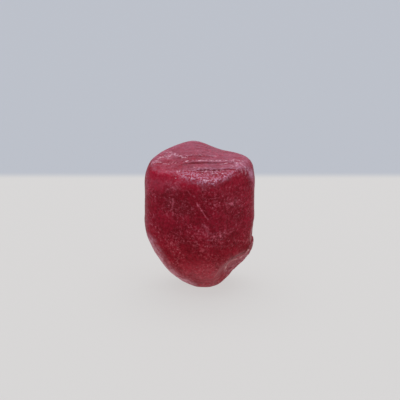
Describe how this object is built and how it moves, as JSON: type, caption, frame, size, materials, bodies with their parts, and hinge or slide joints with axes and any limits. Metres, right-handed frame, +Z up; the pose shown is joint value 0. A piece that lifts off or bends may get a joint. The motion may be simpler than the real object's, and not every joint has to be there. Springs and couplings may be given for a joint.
{
  "type": "raw ruby crystal",
  "caption": "Water-worn raw ruby crystal: a blunt six-sided barrel with a sloping, ledged top and a tapered lower end that stands on a small flat foot.",
  "frame": {"origin": "under the middle of the crystal's box, on the plane it stands on", "axes": "+Z up along the crystal's length, -Y towards the front, +X to the right seen from the front"},
  "size_m": [0.0136, 0.0106, 0.0176],
  "materials": {
    "ruby": "frosted, water-worn"
  },
  "bodies": {
    "root": {"ruby_crystal": "ruby"}
  },
  "joints": []
}
